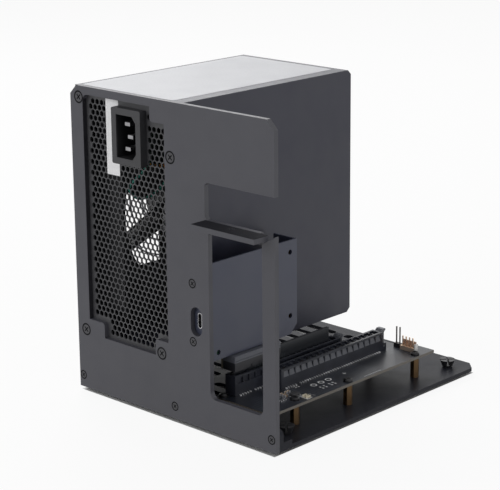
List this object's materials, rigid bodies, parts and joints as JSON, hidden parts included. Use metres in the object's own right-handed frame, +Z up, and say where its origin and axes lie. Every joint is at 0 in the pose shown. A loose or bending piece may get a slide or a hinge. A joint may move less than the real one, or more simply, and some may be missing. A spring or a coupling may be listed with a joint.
{
  "type": "pcie expansion chassis",
  "caption": "Open-frame graphics card dock: an upright panel with a boxed power supply behind it and a card slot board on a base plate.",
  "frame": {"origin": "centre of the bounding box at the plane that the rubber feet stand on", "axes": "+Z up; +Y back from the panel along the base; +X along the panel, from the power supply to the card opening"},
  "size_m": [0.16, 0.191, 0.1835],
  "materials": {
    "panel_paint": "fine satin powder coat, charcoal",
    "base_paint": "fine satin powder coat, charcoal",
    "psu_paint": "matte black powder coat",
    "grille_paint": "matte black powder coat",
    "black_screw": "black zinc",
    "black_plastic": "fine matte",
    "inlet_plastic": "matte",
    "rubber": "matte",
    "blade_metal": "bright nickel",
    "steel_wire": "bright zinc",
    "green_board": "satin solder mask",
    "black_board": "satin black solder mask",
    "aluminium": "milled",
    "yellow_tape": "satin tape",
    "capacitor_sleeve": "satin sleeve",
    "copper_wire": "enamel",
    "wire_sleeve": "satin",
    "slot_plastic": "satin",
    "slot_latch_plastic": "satin",
    "tin": "bright tin",
    "brass": "turned brass",
    "cover_paint": "satin anodised",
    "gold_pin": "gold flash"
  },
  "bodies": {
    "chassis": {"io_panel": "panel_paint", "psu_screws": "black_screw", "base_screws": "black_screw", "base_plate": "base_paint", "rubber_feet": "rubber", "foot_rivets": "black_plastic", "psu_case": "psu_paint", "psu_cover": "psu_paint", "psu_rear_grille": "grille_paint", "cover_screws": "black_screw", "inlet_housing": "inlet_plastic", "inlet_blades": "blade_metal", "fan_frame": "black_plastic", "fan_guard": "steel_wire", "fan_screws": "black_screw", "psu_board": "green_board", "psu_heatsinks": "aluminium", "psu_transformer": "yellow_tape", "psu_capacitors": "capacitor_sleeve", "psu_choke": "copper_wire", "inlet_wires": "wire_sleeve", "psu_outlets": "black_plastic", "main_board": "black_board", "board_standoffs": "brass", "board_screws": "black_screw", "gpu_slot": "slot_plastic", "gpu_slot_pins": "tin", "module_slot": "slot_plastic", "module_slot_pins": "tin", "riser_card": "black_board", "riser_socket": "black_plastic", "module_cover": "cover_paint", "module_board": "green_board", "module_spacers": "brass", "usb_shell": "steel_wire", "usb_tongue": "black_plastic", "usb_screws": "black_screw", "power_header": "gold_pin", "fan_header": "gold_pin"},
    "fan_rotor": {"fan_rotor": "black_plastic"},
    "gpu_latch": {"gpu_slot_latch": "slot_latch_plastic"},
    "module_latch": {"module_slot_latch": "slot_latch_plastic"}
  },
  "joints": [
    {"name": "fan_spin", "type": "hinge", "parent": "chassis", "child": "fan_rotor", "pos_m": [-0.0761, -0.0115, 0.1079], "axis": [1, 0, 0], "continuous": true},
    {"name": "gpu_latch_swing", "type": "hinge", "parent": "chassis", "child": "gpu_latch", "pos_m": [0.0414, 0.0482, 0.0214], "axis": [-1, 0, 0], "range_deg": [0, 25]},
    {"name": "module_latch_swing", "type": "hinge", "parent": "chassis", "child": "module_latch", "pos_m": [0.0298, 0.0232, 0.0214], "axis": [-1, 0, 0], "range_deg": [0, 25]}
  ]
}
